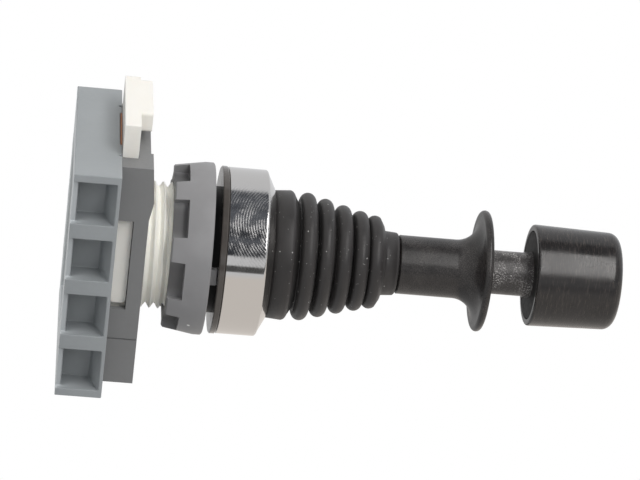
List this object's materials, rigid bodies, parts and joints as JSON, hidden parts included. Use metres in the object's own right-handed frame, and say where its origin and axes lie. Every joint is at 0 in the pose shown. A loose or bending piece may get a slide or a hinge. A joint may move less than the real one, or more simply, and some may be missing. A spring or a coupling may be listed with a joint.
{
  "type": "industrial joystick",
  "caption": "Panel-mounted joystick with a cylindrical knob, pull-to-release collar, tapered rubber bellows, chrome bezel, notched lock nut and a latched adapter for contact blocks.",
  "frame": {"origin": "centre of the panel cut-out in the plane of the gasket's rear face, where the device seats on its panel", "axes": "+Z runs along the upright lever towards the knob; -X is the side of the latch tab; the contact block pockets open towards -Y and +Y"},
  "size_m": [0.0459, 0.0406, 0.0965],
  "materials": {
    "adapter_grey": "fine moulded grain, light grey",
    "frame_grey": "fine moulded grain, mid grey",
    "latch_white": "smooth moulded, cream white",
    "leaf_bronze": "rolled bronze strip",
    "thread_white": "semi-gloss moulded, pale grey",
    "nut_grey": "satin moulded, grey",
    "gasket_rubber": "smooth moulded",
    "head_black": "smooth moulded",
    "bezel_chrome": "bright chrome plate",
    "bellows_rubber": "soft matt moulded",
    "inner_plastic": "natural acetal",
    "rod_plastic": "natural acetal",
    "spring_steel": "drawn wire",
    "pin_steel": "ground",
    "ring_brass": "turned",
    "swash_plastic": "moulded",
    "lever_black": "satin moulded with fine wear",
    "knob_black": "satin-gloss moulded"
  },
  "bodies": {
    "base": {"adapter_plate": "adapter_grey", "adapter_frame": "frame_grey", "detent_leaf": "leaf_bronze", "threaded_tube": "thread_white", "locating_key": "nut_grey", "panel_gasket": "gasket_rubber", "head_body": "head_black", "bezel_ring": "bezel_chrome", "bellows": "bellows_rubber", "plunger_guide": "inner_plastic", "spring_seat": "inner_plastic", "seat_clip": "spring_steel", "spring_east": "spring_steel", "spring_west": "spring_steel", "spring_north": "spring_steel", "spring_south": "spring_steel"},
    "slide": {"lock_slide": "latch_white"},
    "nut": {"lock_nut": "nut_grey"},
    "gimbal": {"gimbal_ring": "ring_brass", "gimbal_outer_pins": "pin_steel", "gimbal_inner_pins": "pin_steel"},
    "lever": {"lever_ball": "pin_steel", "swash_plate": "swash_plastic", "swash_clip": "spring_steel", "lever_tube": "lever_black", "lever_stud": "pin_steel", "stop_ring": "lever_black", "rod_spring": "spring_steel", "knob_shell": "knob_black", "knob_underplate": "knob_black", "knob_bush": "ring_brass"},
    "collar": {"pull_collar": "lever_black", "collar_pin": "pin_steel", "release_rod": "pin_steel"},
    "push_rod_east": {"plunger_east": "rod_plastic"},
    "push_rod_west": {"plunger_west": "rod_plastic"},
    "push_rod_north": {"plunger_north": "rod_plastic"},
    "push_rod_south": {"plunger_south": "rod_plastic"}
  },
  "joints": [
    {"name": "tilt_east_west", "type": "hinge", "parent": "base", "child": "gimbal", "pos_m": [0, 0, 0.005], "axis": [0, 1, 0], "range_deg": [-13, 13], "stiffness_Nm_per_rad": 0.35, "deforming": ["bellows"]},
    {"name": "tilt_north_south", "type": "hinge", "parent": "gimbal", "child": "lever", "pos_m": [0, 0, 0.005], "axis": [1, 0, 0], "range_deg": [-13, 13], "stiffness_Nm_per_rad": 0.35, "deforming": ["bellows"]},
    {"name": "collar_pull", "type": "slide", "parent": "lever", "child": "collar", "axis": [0, 0, 1], "range_m": [0, 0.005], "stiffness_N_per_m": 400, "springref_m": -0.003, "deforming": ["rod_spring"]},
    {"name": "slide_release", "type": "slide", "parent": "base", "child": "slide", "axis": [-1, 0, 0], "range_m": [0, 0.003]},
    {"name": "nut_turn", "type": "hinge", "parent": "base", "child": "nut", "pos_m": [0, 0, -0.0048], "axis": [0, 0, 1], "continuous": true},
    {"name": "push_east", "type": "slide", "parent": "base", "child": "push_rod_east", "axis": [0, 0, -1], "range_m": [-0.00123, 0.00123], "deforming": ["spring_east"]},
    {"name": "push_west", "type": "slide", "parent": "base", "child": "push_rod_west", "axis": [0, 0, -1], "range_m": [-0.00123, 0.00123], "deforming": ["spring_west"]},
    {"name": "push_north", "type": "slide", "parent": "base", "child": "push_rod_north", "axis": [0, 0, -1], "range_m": [-0.00123, 0.00123], "deforming": ["spring_north"]},
    {"name": "push_south", "type": "slide", "parent": "base", "child": "push_rod_south", "axis": [0, 0, -1], "range_m": [-0.00123, 0.00123], "deforming": ["spring_south"]}
  ],
  "couplings": [
    {"joint": "push_east", "follows": "tilt_east_west", "m_per_rad": 0.0054},
    {"joint": "push_west", "follows": "tilt_east_west", "m_per_rad": -0.0054},
    {"joint": "push_north", "follows": "tilt_north_south", "m_per_rad": -0.0054},
    {"joint": "push_south", "follows": "tilt_north_south", "m_per_rad": 0.0054}
  ]
}
